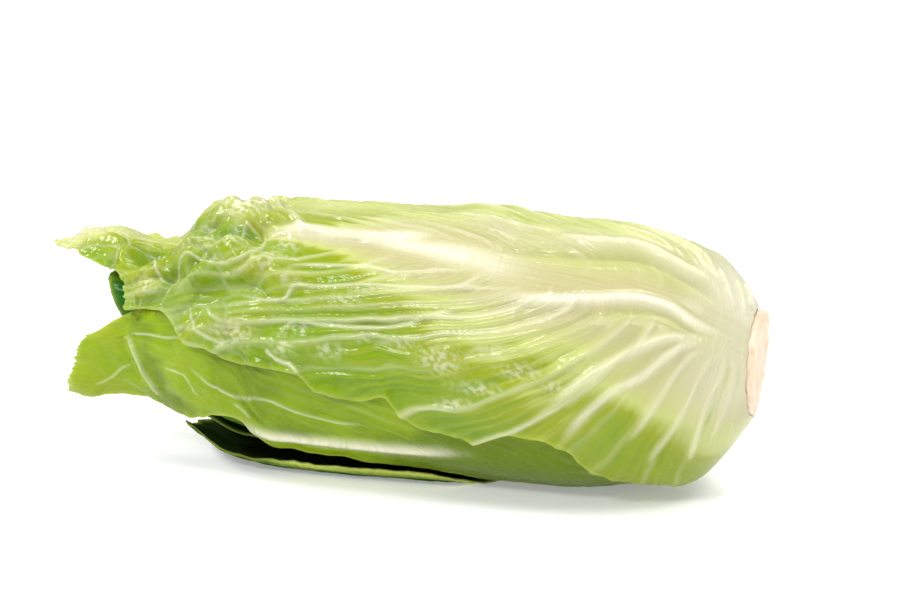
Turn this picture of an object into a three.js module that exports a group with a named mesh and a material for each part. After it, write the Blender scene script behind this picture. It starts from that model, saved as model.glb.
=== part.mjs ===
// A head of sugarloaf chicory (Cichorium intybus), lying on its side.
//
// Every leaf is described on the head's own axis: s is the distance from the cut
// stem towards the leaf tips, an angle of 0 faces -Y, 90 faces up and -90 faces
// down, and the radius is measured from the axis. The axis runs along X with the
// cut stem at the +X end, and the head rests on its lowest leaf.
//
// The origin is on the surface that the head rests on, below the middle of the
// whole head. Lengths are in millimetres and angles in degrees.

import * as THREE from "three";

// ---- driving dimensions -------------------------------------------------------
const HEAD_RADIUS = 55.5; // outermost leaf, around the middle of the head
const AXIS_HEIGHT = 52.5; // head axis above the surface, so the lowest leaf is flattened
const DOME_LENGTH = 75; // the rounded end next to the cut stem
const DOME_OVERRUN = 3; // how far the dome would close beyond the cut
const NECK = { s: 239, angle: 85, length: 14, width: 45, depth: 6.5 }; // dent before the upper tips
const CLOSING_START = 200; // from here the layers below draw in towards their tips
const CLOSING_LENGTH = 50;
const LEAF_THICKNESS = 1.2;
const LAYER_GAP = 1.4; // clear space between two leaf layers
const LAYER = LEAF_THICKNESS + LAYER_GAP;
const INNER_DEPTH = 11.5; // depth of the first wrapped ring below the outermost leaf
const RING_STEP = 9; // depth between one wrapped ring and the next
const RING_LEAN = 2.6; // each wrapped leaf's far edge stands this much over the next
const STEM_RADIUS = 17.2;
const CUT_RADIUS = 20; // the rim of the cut, which hides where the leaves begin
const CUT_THICKNESS = 2.2; // from the cut face to the back of its rim

// The radius given away towards the tips, as [s, change of radius].
const TAPER = [[75, 0], [200, -1.5], [213, -4], [230, -11], [246, -17], [262, -19.5], [290, -24]];

// How much lower than round the head is along its top, as [s, drop].
const CROWN_DROP = [[0, -1.2], [16, 0.6], [28, 3.8], [45, 6.4], [68, 8.8], [90, 6.6], [104, 3.4],
  [150, 4.7], [290, 4.7]];

const COLOURS = {
  stem: 0xf3e6cf,
  front_leaf: 0xc9d27a,
  lower_leaf: 0x8fab34,
  floor_leaf: 0x86a53a,
  top_leaf: 0x9dbb44,
  back_leaf: 0x95b440,
  inner_leaf: 0xb4cc5c,
  heart_leaf: 0xd3dd8c,
  core_leaf: 0xe6e8b0,
  heart_bud: 0xeeecc4,
};

// ---- small helpers ------------------------------------------------------------
const radians = THREE.MathUtils.degToRad;
const clamp = THREE.MathUtils.clamp;
const bell = (x) => Math.exp(-x * x);

// A smooth curve through [x, y] points that never overshoots them.
function curve(points) {
  const slopes = points.slice(1).map(([x, y], i) => (y - points[i][1]) / (x - points[i][0]));
  const tangents = points.map((_, i) => {
    if (i === 0) return slopes[0];
    if (i === points.length - 1) return slopes[i - 1];
    const product = slopes[i - 1] * slopes[i];
    return product <= 0 ? 0 : (2 * product) / (slopes[i - 1] + slopes[i]);
  });
  return (x) => {
    const last = points.length - 1;
    const at = clamp(x, points[0][0], points[last][0]);
    let i = 0;
    while (i < last - 1 && at > points[i + 1][0]) i += 1;
    const width = points[i + 1][0] - points[i][0];
    const t = (at - points[i][0]) / width;
    return (
      (1 + 2 * t) * (1 - t) ** 2 * points[i][1] +
      t * (1 - t) ** 2 * width * tangents[i] +
      t * t * (3 - 2 * t) * points[i + 1][1] +
      t * t * (t - 1) * width * tangents[i + 1]
    );
  };
}

const taper = curve(TAPER);
const crownDrop = curve(CROWN_DROP);

// Radius of the head's body for a leaf layer, at s and an angle.
function bodyRadius(s, angle, layer) {
  const t = clamp((DOME_LENGTH - (s - layer.shift)) / (DOME_LENGTH + DOME_OVERRUN), 0, 1);
  const dome = Math.sqrt(1 - t * t);
  const up = Math.max(0, Math.sin(radians(angle))) ** 2;
  const pinch = NECK.depth * bell((s - NECK.s) / NECK.length) * bell((angle - NECK.angle) / NECK.width);
  const closing = layer.closing * clamp((s - CLOSING_START) / CLOSING_LENGTH, 0, 1) ** 2;
  const drop = up * crownDrop(s) * (1 - layer.depth / HEAD_RADIUS);
  return (HEAD_RADIUS - layer.depth) * dome + taper(s) - drop - pinch - closing;
}

// ---- leaves -------------------------------------------------------------------
// One closed thin shell for each leaf. low and high are the half widths on the two
// sides of the midrib, end is the leaf's far edge from one side (-1) to the other
// (1), and swells are soft bumps given as [s, angle, length, width, height].
function leafGeometry(leaf) {
  const middle = curve(leaf.middle);
  const low = curve(leaf.low);
  const high = curve(leaf.high);
  const end = curve(leaf.end);
  const [rows, columns] = leaf.grid;

  function outline(u, v) {
    const s = leaf.start + u * (end(v) - leaf.start);
    const angle = middle(s) + v * (v < 0 ? low(s) : high(s));
    const lean = leaf.lean * v * clamp((s - leaf.start) / 15, 0, 1);
    let radius = bodyRadius(s, angle, leaf) + lean;
    for (const [atS, atAngle, length, width, height] of leaf.swells) {
      radius += height * bell((s - atS) / length) * bell((angle - atAngle) / width);
    }
    return { s, angle, radius };
  }

  function point(u, v, inside) {
    const { s, angle, radius } = outline(u, v);
    const ribLength = clamp((s - leaf.start) / 25, 0, 1) * clamp(1 - s / 200, 0, 1);
    const rib = leaf.rib * bell(v / 0.16) * ribLength;
    const depth = inside * (LEAF_THICKNESS + rib);
    const floor = -AXIS_HEIGHT + leaf.rest + inside * LEAF_THICKNESS;
    const y = -(radius - depth) * Math.cos(radians(angle));
    const z = (radius - depth) * Math.sin(radians(angle));
    return [-s, y, Math.max(z, floor)];
  }

  const positions = [];
  for (const inside of [0, 1]) {
    for (let row = 0; row <= rows; row += 1) {
      const u = row / rows - 0.1 * Math.sin((2 * Math.PI * row) / rows); // closer rows at both ends
      for (let column = 0; column <= columns; column += 1) {
        positions.push(...point(u, (2 * column) / columns - 1, inside));
      }
    }
  }
  const side = (rows + 1) * (columns + 1);
  const index = (row, column, inside) => inside * side + row * (columns + 1) + column;

  const faces = [];
  const quad = (a, b, c, d) => faces.push(a, c, b, a, d, c);
  for (let row = 0; row < rows; row += 1) {
    for (let column = 0; column < columns; column += 1) {
      for (const inside of [0, 1]) {
        const corners = [
          index(row, column, inside),
          index(row + 1, column, inside),
          index(row + 1, column + 1, inside),
          index(row, column + 1, inside),
        ];
        if (inside) corners.reverse();
        quad(...corners);
      }
    }
  }
  for (let row = 0; row < rows; row += 1) {
    quad(index(row, 0, 1), index(row + 1, 0, 1), index(row + 1, 0, 0), index(row, 0, 0));
    const c = columns;
    quad(index(row, c, 0), index(row + 1, c, 0), index(row + 1, c, 1), index(row, c, 1));
  }
  for (let column = 0; column < columns; column += 1) {
    const next = column + 1;
    quad(index(0, column, 0), index(0, next, 0), index(0, next, 1), index(0, column, 1));
    quad(index(rows, column, 1), index(rows, next, 1), index(rows, next, 0), index(rows, column, 0));
  }
  const geometry = new THREE.BufferGeometry();
  geometry.setAttribute("position", new THREE.Float32BufferAttribute(positions, 3));
  geometry.setIndex(faces);
  return geometry;
}

// The five loose outer leaves. shift and depth place a leaf's layer below the
// outermost one, rest is the lowest height that it reaches above the surface.
const OUTER_LEAVES = [
  {
    name: "front_leaf",
    start: 3, shift: 0, depth: 0, closing: 0, rest: 0, rib: 3, grid: [28, 16],
    middle: [[3, 38], [48, 44], [99, 50], [141, 57], [192, 60], [288, 66]],
    low: [[3, 110], [14, 109], [28, 104], [40, 100], [50, 93], [57, 83], [63, 71], [76, 69], [84, 70],
      [98, 76], [118, 75], [126, 72], [132, 66], [145, 69], [157, 68], [166, 62], [180, 60],
      [193, 61], [203, 57.5], [209, 57], [215, 53], [221, 47.5], [228, 44], [242, 46], [288, 50]],
    high: [[3, 60], [40, 70], [288, 66]],
    end: [[-1, 243], [-0.8, 246], [-0.55, 249], [-0.44, 252], [-0.38, 259], [-0.2, 269], [0, 276],
      [0.16, 287], [0.45, 264], [1, 236]],
    swells: [[23, -76, 13, 32, 6], [265, 85, 12, 40, 6.2], [218, 88, 9, 36, 2.2]],
  },
  {
    name: "lower_leaf",
    start: 4, shift: 1.5, depth: LAYER, closing: 0, rest: 2.1, rib: 2.5, grid: [26, 12],
    middle: [[4, -50], [60, -53], [100, -49], [142, -46], [182, -44], [194, -24], [205, -20],
      [218, -20], [243, -22], [280, -24]],
    low: [[4, 45], [30, 56], [60, 55], [85, 46], [100, 26], [115, 12], [150, 10], [180, 8], [187, 9],
      [194, 7], [205, 12], [217, 17], [229, 21], [237, 21], [250, 22], [262, 21], [272, 22.5]],
    high: [[4, 60], [60, 72], [142, 68], [182, 64], [194, 48], [205, 44], [231, 42], [241, 39],
      [246, 35], [253, 30], [259, 24], [266, 19]],
    end: [[-1, 274], [-0.5, 272], [0, 268], [0.6, 266], [1, 262]],
    swells: [[268, -48, 18, 30, 7], [23, -76, 13, 32, 6]],
  },
  {
    name: "floor_leaf",
    start: 3, shift: 0, depth: 0.5, closing: 0, rest: 0, rib: 0, grid: [24, 8],
    middle: [[3, -100], [250, -100]],
    low: [[3, 38], [60, 42], [250, 42]],
    high: [[3, 10], [88, 10], [108, 32], [124, 44], [170, 44], [250, 40]],
    end: [[-1, 200], [-0.3, 222], [0.3, 230], [0.8, 228], [1, 222]],
    swells: [[170, -60, 55, 22, 2.5], [228, -58, 24, 24, -4], [23, -76, 13, 32, 6]],
  },
  {
    name: "top_leaf",
    start: 4, shift: 1.5, depth: LAYER, closing: 5, rest: 0, rib: 2.5, grid: [20, 10],
    middle: [[4, 146], [290, 150]],
    low: [[4, 48], [60, 60], [290, 60]],
    high: [[4, 40], [60, 50], [290, 52]],
    end: [[-1, 232], [-0.4, 257], [0, 268], [0.3, 266], [0.7, 248], [1, 228]],
    swells: [],
  },
  {
    name: "back_leaf",
    start: 6, shift: 3, depth: 2 * LAYER + 0.6, closing: 10, rest: 4.4, rib: 1.5, grid: [19, 10],
    middle: [[6, 212], [290, 212]],
    low: [[6, 38], [60, 44], [290, 44]],
    high: [[6, 46], [60, 56], [290, 56]],
    end: [[-1, 232], [-0.3, 254], [0, 260], [0.4, 251], [1, 226]],
    swells: [],
  },
];

// The wrapped leaves inside, in rings that each lap over their next neighbour. first is
// the angle of a ring's first leaf, tips gives how far each leaf reaches, and firstEnd is
// the far edge of the first leaf.
const RINGS = [
  { name: "inner_leaf", first: 30, start: 12, shift: 7, closing: 12, tips: [253, 250, 253, 248, 246],
    firstEnd: [[-1, 235], [-0.5, 251], [0, 255], [0.4, 258], [0.8, 258], [1, 248]],
    swells: [[256, 42, 24, 36, 17]], grid: [14, 7] },
  { name: "heart_leaf", first: 40, start: 22, shift: 16, closing: 10, tips: [248, 243, 246, 241],
    swells: [], grid: [12, 8] },
  { name: "core_leaf", first: 80, start: 35, shift: 28, closing: 6.5, tips: [238, 234, 236],
    swells: [], grid: [11, 9] },
];

const pointedEnd = (tip) => [[-1, tip - 22], [-0.4, tip - 4], [0, tip], [0.5, tip - 6], [1, tip - 26]];

function ringLeaves(ring, order) {
  const spacing = 360 / ring.tips.length;
  const reach = [[ring.start, 0.38 * spacing], [ring.start + 60, 0.67 * spacing], [290, 0.67 * spacing]];
  return ring.tips.map((tip, i) => ({
    name: `${ring.name}_${i + 1}`,
    start: ring.start,
    shift: ring.shift,
    depth: INNER_DEPTH + RING_STEP * order,
    closing: ring.closing,
    lean: RING_LEAN,
    rest: 0,
    rib: 1.6,
    grid: ring.grid,
    middle: [[ring.start, ring.first + i * spacing], [290, ring.first + i * spacing]],
    low: reach,
    high: reach,
    end: (i === 0 && ring.firstEnd) || pointedEnd(tip),
    swells: ring.swells,
  }));
}

// ---- solids of revolution about the head's axis -------------------------------
function turnedGeometry(profile, segments) {
  const outline = profile.map(([s, radius]) => new THREE.Vector2(radius, s));
  const geometry = new THREE.LatheGeometry(outline, segments);
  geometry.rotateZ(Math.PI / 2);
  return geometry;
}

// The short stem: a flat cut face at s = 0 with a thin rim, narrowing into the head.
const STEM_PROFILE = [[0, 0], [0, CUT_RADIUS - 0.6], [0.6, CUT_RADIUS], [CUT_THICKNESS, CUT_RADIUS],
  [3, STEM_RADIUS], [8, 16.6], [12, 15.4], [22, 12.4], [34, 8.6], [50, 6.6], [70, 4], [72, 0]];

// The unopened bud of the youngest leaves.
const BUD_PROFILE = [[76, 0], [80, 5], [96, 12], [120, 16.5], [150, 17], [180, 15], [205, 10.5],
  [222, 5], [230, 0]];

// ---- assembly -----------------------------------------------------------------
function piece(name, geometry, colour) {
  const material = new THREE.MeshStandardMaterial({ color: colour, roughness: 0.5, metalness: 0 });
  const mesh = new THREE.Mesh(geometry, material);
  mesh.name = name;
  return mesh;
}

const head = new THREE.Group();
head.add(piece("stem", turnedGeometry(STEM_PROFILE, 24), COLOURS.stem));
for (const leaf of OUTER_LEAVES) {
  head.add(piece(leaf.name, leafGeometry({ lean: 0, ...leaf }), COLOURS[leaf.name]));
}
RINGS.forEach((ring, order) => {
  for (const leaf of ringLeaves(ring, order)) {
    head.add(piece(leaf.name, leafGeometry(leaf), COLOURS[ring.name]));
  }
});
head.add(piece("heart_bud", turnedGeometry(BUD_PROFILE, 16), COLOURS.heart_bud));

const bounds = new THREE.Box3().setFromObject(head, true);
const middle = bounds.getCenter(new THREE.Vector3());
head.position.set(-middle.x, -middle.y, -bounds.min.z);

export default head;
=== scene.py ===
"""A head of sugarloaf chicory (Cichorium intybus) lying on its side, dressed for rendering.

Every leaf is laid out on the head's own axis, as in the solids: s is the distance in
millimetres from the cut stem towards the tips, an angle of 0 degrees faces -Y, 90 faces
up and -90 down, and a radius is measured from the axis. The last step turns a leaf's
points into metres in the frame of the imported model.
"""
import math
from functools import partialmethod
from types import SimpleNamespace

import bpy
import numpy as np
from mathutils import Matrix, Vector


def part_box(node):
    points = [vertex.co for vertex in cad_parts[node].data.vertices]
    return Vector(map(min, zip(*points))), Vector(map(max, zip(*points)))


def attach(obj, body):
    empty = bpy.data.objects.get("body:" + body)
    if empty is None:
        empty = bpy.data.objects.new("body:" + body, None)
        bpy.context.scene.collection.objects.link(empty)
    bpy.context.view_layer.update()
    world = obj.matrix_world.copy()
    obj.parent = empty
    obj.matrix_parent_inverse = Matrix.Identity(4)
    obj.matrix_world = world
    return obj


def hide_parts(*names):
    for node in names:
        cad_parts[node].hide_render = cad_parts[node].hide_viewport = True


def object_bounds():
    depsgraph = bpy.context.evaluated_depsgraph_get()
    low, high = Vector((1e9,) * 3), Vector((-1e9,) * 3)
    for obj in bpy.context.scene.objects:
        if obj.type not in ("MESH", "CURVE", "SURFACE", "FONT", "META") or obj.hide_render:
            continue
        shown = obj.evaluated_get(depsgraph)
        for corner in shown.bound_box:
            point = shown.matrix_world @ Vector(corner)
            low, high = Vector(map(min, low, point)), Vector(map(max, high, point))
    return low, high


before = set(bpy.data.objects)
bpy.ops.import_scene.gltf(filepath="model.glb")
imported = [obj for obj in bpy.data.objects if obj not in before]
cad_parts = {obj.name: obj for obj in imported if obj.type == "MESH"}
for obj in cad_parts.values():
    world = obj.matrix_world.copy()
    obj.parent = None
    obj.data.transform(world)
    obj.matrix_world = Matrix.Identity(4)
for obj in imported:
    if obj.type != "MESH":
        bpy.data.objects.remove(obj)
CAD_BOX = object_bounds()

# ---- the head, in millimetres and degrees ----
# These values and the leaves' outlines are the solids' own, but for where the leaves start
# and how far the front leaf reaches round the base. The leaves are thinner than the solids.
HEAD_RADIUS = 55.5
DOME_LENGTH = 75.0
DOME_OVERRUN = 3.0
NECK_PINCH = 6.5
EDGE_THICKNESS, ADDED_THICKNESS = 0.7, 0.3
LAYER = 2.6
INNER_DEPTH = 11.5
RING_STEP = 9.0
RING_LEAN = 2.6
STEM_RADIUS = 17.2
CUT_RADIUS = 20.0
TAPER = [(75, 0), (200, -1.5), (213, -4), (230, -11), (246, -17), (262, -19.5), (290, -24)]
CROWN_DROP = [(0, -1.2), (16, 0.6), (28, 3.8), (45, 6.4), (68, 8.8), (90, 6.6), (104, 3.4), (150, 4.7),
              (290, 4.7)]

MM = 0.001
STEM_LOW, STEM_HIGH = (np.array(corner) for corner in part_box("stem"))
CUT_X = STEM_HIGH[0]
AXIS_Y, AXIS_Z = (STEM_LOW[1:] + STEM_HIGH[1:]) / 2


# ---- numbers and noise ----
def cubic(t, start, end, leaving, arriving, width=1):
    """From start to end as t goes from 0 to 1, with the slopes there times a width."""
    first = (1 + 2 * t) * (1 - t) ** 2 * start + t * (1 - t) ** 2 * width * leaving
    return first + (t * t * (3 - 2 * t) * end + t * t * (t - 1) * width * arriving)


def curve(points, x):
    """The smooth curve through (x, y) points that never overshoots them."""
    xs, ys = np.asarray(points, float).T
    widths = np.diff(xs)
    slopes = np.diff(ys) / widths
    tangents = np.zeros(len(xs))
    tangents[0], tangents[-1] = slopes[0], slopes[-1]
    before, after = slopes[:-1], slopes[1:]
    same_way = before * after > 0
    total = np.where(same_way, before + after, 1)
    tangents[1:-1] = np.where(same_way, 2 * before * after / total, 0)
    x = np.clip(x, xs[0], xs[-1])
    i = np.clip(np.searchsorted(xs, x, side="right") - 1, 0, len(xs) - 2)
    t = (x - xs[i]) / widths[i]
    return cubic(t, ys[i], ys[i + 1], tangents[i], tangents[i + 1], widths[i])


def bell(x):
    return np.exp(-x * x)


def ramp(x, low, high):
    """0 below low, 1 above high, and smooth between."""
    t = np.clip((x - low) / (high - low), 0, 1)
    return t * t * (3 - 2 * t)


def fade(x, low, high):
    """1 below low, 0 above high, and smooth between."""
    return ramp(-x, -high, -low)


def noise(x, y, seed):
    """Smooth random hills and hollows from about -1 to 1, one unit apart."""
    rng = np.random.default_rng(seed)
    size = 64
    turns = rng.random((size, size)) * 2 * math.pi
    gx, gy = np.cos(turns), np.sin(turns)
    x0, y0 = np.floor(x).astype(int), np.floor(y).astype(int)
    fx, fy = x - x0, y - y0

    def corner(i, j):
        a, b = (x0 + i) % size, (y0 + j) % size
        return gx[a, b] * (fx - i) + gy[a, b] * (fy - j)

    ux = fx ** 3 * (fx * (fx * 6 - 15) + 10)
    uy = fy ** 3 * (fy * (fy * 6 - 15) + 10)
    low = corner(0, 0) * (1 - ux) + corner(1, 0) * ux
    high = corner(0, 1) * (1 - ux) + corner(1, 1) * ux
    return (low * (1 - uy) + high * uy) * 1.6


def rough(x, y, seed, octaves=3):
    """Noise with finer noise added to it."""
    total = 0
    for k in range(octaves):
        total = total + noise(x * 2 ** k, y * 2 ** k, seed + k) / 2 ** k
    return total


def cells(x, y, seed):
    """Distance to the nearest wall between random cells about one unit across."""
    rng = np.random.default_rng(seed)
    size = 48
    jitter = rng.random((size, size, 2))
    x0, y0 = np.floor(x).astype(int), np.floor(y).astype(int)
    nearest = np.full(x.shape, 9.0)
    second = np.full(x.shape, 9.0)
    for i in (-1, 0, 1):
        for j in (-1, 0, 1):
            a, b = x0 + i, y0 + j
            dx = a + jitter[a % size, b % size, 0] - x
            dy = b + jitter[a % size, b % size, 1] - y
            d = np.hypot(dx, dy)
            second = np.minimum(second, np.maximum(nearest, d))
            nearest = np.minimum(nearest, d)
    return second - nearest


# ---- the head's shape ----
def body_radius(s, angle, leaf):
    t = np.clip((DOME_LENGTH - (s - leaf.shift)) / (DOME_LENGTH + DOME_OVERRUN), 0, 1)
    dome = np.sqrt(1 - t * t)
    up = np.maximum(0, np.sin(np.radians(angle))) ** 2
    pinch = NECK_PINCH * bell((s - 239) / 14) * bell((angle - 85) / 45)
    closing = leaf.closing * np.clip((s - 200) / 50, 0, 1) ** 2
    drop = up * curve(CROWN_DROP, s) * (1 - leaf.depth / HEAD_RADIUS)
    return (HEAD_RADIUS - leaf.depth) * dome + curve(TAPER, s) - drop - pinch - closing


def arc_length(s):
    """Distance over the surface from the cut to s, along a side of the head."""
    steps = np.linspace(0, 300, 1201)
    plain = SimpleNamespace(shift=0, depth=0, closing=0)
    radius = body_radius(steps, np.zeros_like(steps), plain)
    lengths = np.hypot(np.diff(steps), np.diff(radius))
    return np.interp(s, steps, np.concatenate([[0], np.cumsum(lengths)]))


def to_frame(s, angle, radius, floor=0.0):
    """Points in metres in the frame of the model, none of them below floor mm."""
    turn = np.radians(angle)
    x = CUT_X - s * MM
    y = AXIS_Y - radius * np.cos(turn) * MM
    z = np.maximum(AXIS_Z + radius * np.sin(turn) * MM, floor * MM)
    return np.stack(np.broadcast_arrays(x, y, z), axis=-1)


# ---- a leaf as a sheet of points ----
class Sheet:
    """The grid of one leaf: where each point is, and how far from rib, tip and margins."""

    def __init__(self, leaf, rows, columns):
        self.leaf = leaf
        self.seed = seed = leaf.seed
        self.shape = (rows, columns)
        v = np.linspace(-1, 1, columns)[None, :] + np.zeros((rows, 1))
        end = curve(leaf.end, v) + leaf.tip_wave * rough(v * 9, 0, seed, 3)
        reach = np.linspace(0, 1, 400)
        along = arc_length(leaf.start + reach * (end.mean() - leaf.start))
        u = np.interp(np.linspace(along[0], along[-1], rows), along, reach)[:, None]
        start = leaf.start + 0.4 * (1 + rough(v * 6, 0, seed + 3, 2)).clip(0, 2)
        self.s = s = start + u * (end - start)
        low, high = curve(leaf.low, s), curve(leaf.high, s)
        wave = leaf.margin_wave
        low = low + wave * rough(s / 19, 0, seed + 5, 2)
        high = high + wave * rough(s / 19, 0, seed + 9, 2)
        high = high + leaf.teeth * noise(s / 3.1, 0, seed + 13)
        self.v = v
        self.side = np.where(v < 0, low, high)
        self.span = np.where(v < 0, curve(leaf.span, s), high) if hasattr(leaf, "span") else self.side
        self.middle = curve(leaf.middle, s)
        self.angle = self.middle + v * self.side
        lean = leaf.lean * v * np.clip((s - leaf.start) / 15, 0, 1)
        self.radius = body_radius(s, self.angle, leaf) + lean
        for at_s, at_angle, length, width, height in leaf.swells:
            bump = bell((s - at_s) / length) * bell((self.angle - at_angle) / width)
            self.radius = self.radius + height * bump
        self.arc = arc_length(s)
        self.per_degree = self.radius * math.pi / 180
        self.across = (self.angle - self.middle) * self.per_degree
        self.from_tip = end - s
        self.from_margin = (1 - np.abs(v)) * self.side * self.per_degree
        self.inset = np.minimum(self.from_margin, self.from_tip)
        self.phase = vein_phase(self)

    def slope(self, field):
        """How fast a field changes, per millimetre over the leaf."""
        down = np.gradient(field, axis=0)
        over = np.gradient(field, axis=1)
        row_step = np.gradient(self.arc, axis=0)
        column_step = np.gradient(self.angle, axis=1) * self.per_degree
        column_s = np.gradient(self.arc, axis=1)
        along = down / np.maximum(row_step, 0.05)
        sideways = (over - along * column_s) / np.maximum(np.abs(column_step), 0.05)
        return np.hypot(along, sideways)

    def spot(self, s, angle, length, width):
        """1 at a place, fading to 0 round it over a length and a width in mm."""
        along = (self.arc - arc_length(s)) / length
        sideways = (self.angle - angle) * self.per_degree / width
        return np.exp(-along ** 2 - sideways ** 2)

    def stroke(self, points, width):
        """1 on a smooth line through (s, angle) points, fading to 0 beside it and at its ends."""
        line = smooth_line(points)
        a = arc_length(line[:, 0])
        share = np.linspace(0, 1, len(line) - 1)
        strength = ramp(np.minimum(share, 1 - share), -0.06, 0.2)
        reach = 3 * width
        degrees = reach / np.minimum(self.per_degree, 0.9).clip(0.25)
        near = (self.arc > a.min() - reach) & (self.arc < a.max() + reach)
        near &= (self.angle > line[:, 1].min() - degrees) & (self.angle < line[:, 1].max() + degrees)
        result = np.zeros(self.shape)
        if not near.any():
            return result
        k = self.per_degree[near][:, None]
        px, py = self.arc[near][:, None], self.angle[near][:, None] * k
        ax, bx = a[:-1][None, :], a[1:][None, :]
        ay, by = line[:-1, 1][None, :] * k, line[1:, 1][None, :] * k
        dx, dy = bx - ax, by - ay
        t = np.clip(((px - ax) * dx + (py - ay) * dy) / (dx * dx + dy * dy), 0, 1)
        distance = np.hypot(px - ax - t * dx, py - ay - t * dy)
        best = distance.argmin(axis=1)
        result[near] = bell(distance.min(axis=1) / width) * strength[best]
        return result


def smooth_line(points, step=2.0):
    """Points every couple of millimetres on a smooth line through (s, angle) points."""
    p = np.asarray(points, float)
    lengths = np.hypot(np.diff(p[:, 0]), np.diff(p[:, 1]) * 0.8)
    at = np.concatenate([[0], np.cumsum(lengths)])
    count = max(3, int(at[-1] / step))
    t = np.linspace(0, at[-1], count)
    padded = np.vstack([2 * p[0] - p[1], p, 2 * p[-1] - p[-2]])
    knots = np.concatenate([[-lengths[0]], at, [at[-1] + lengths[-1]]])
    i = np.clip(np.searchsorted(at, t, side="right") - 1, 0, len(p) - 2)
    t0, t1, t2, t3 = (knots[i + k][:, None] for k in range(4))
    p0, p1, p2, p3 = (padded[i + k] for k in range(4))
    h = t2 - t1
    m1 = h * ((p2 - p1) / h - (p2 - p0) / (t2 - t0) + (p1 - p0) / (t1 - t0))
    m2 = h * ((p3 - p2) / (t3 - t2) - (p3 - p1) / (t3 - t1) + (p2 - p1) / h)
    return cubic((t[:, None] - t1) / h, p1, p2, m1, m2)


# ---- veins ----
# How far towards the tip a side vein runs before it meets the margin, by where it starts.
VEIN_REACH = [(2, 4), (6.6, 11), (14, 14), (20, 25), (28, 38), (33, 58), (43, 85), (50, 119),
              (65, 175), (85, 205), (130, 200), (300, 130)]
VEIN_STARTS = (2, 9, 16, 22, 28, 34, 42, 51, 61, 72, 84, 98, 114, 132, 152, 174, 198, 224, 250, 276)


def vein_phase(sheet):
    """Counts side veins: a whole number on each vein, and fractions between them."""
    s, across = sheet.s, sheet.across
    rib = curve(sheet.leaf.rib_width, s)
    share = (np.abs(across) / sheet.per_degree - rib) / np.maximum(sheet.span - rib, 1)
    t = np.clip(share, 0, 1.4) ** 1.5 * np.where(sheet.v > 0, sheet.leaf.upper_reach, 1)
    low, high = np.full(sheet.shape, -60.0), np.full(sheet.shape, 300.0)
    for _ in range(24):
        middle = (low + high) / 2
        beyond = middle + curve(VEIN_REACH, middle) * t > s
        high = np.where(beyond, middle, high)
        low = np.where(beyond, low, middle)
    starts = np.array(VEIN_STARTS)
    phase = np.interp(low, starts, np.arange(len(starts)))
    wander = 0.06 + 0.16 * ramp(s, 80, 140) + 0.25 * ramp(s, 165, 225)
    return phase + wander * rough(sheet.arc / 26, across / 18, sheet.seed + 1, 2)


def vein_lines(sheet, count, width, seed):
    """Lines along the side veins, count of them for each whole step of phase."""
    fine = sheet.phase * count
    nearest = np.round(fine)
    distance = np.abs(fine - nearest) / np.maximum(sheet.slope(fine), 0.02)
    rng = np.random.default_rng(seed)
    strengths = rng.uniform(0.3, 1.0, (2, 400))
    index = np.clip(nearest.astype(int), 0, 399)
    along = 0.75 + 0.35 * noise(sheet.arc / 28, nearest * 7.3, seed + 1)
    return bell(distance / width) * strengths[(sheet.v > 0).astype(int), index] * along


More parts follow.
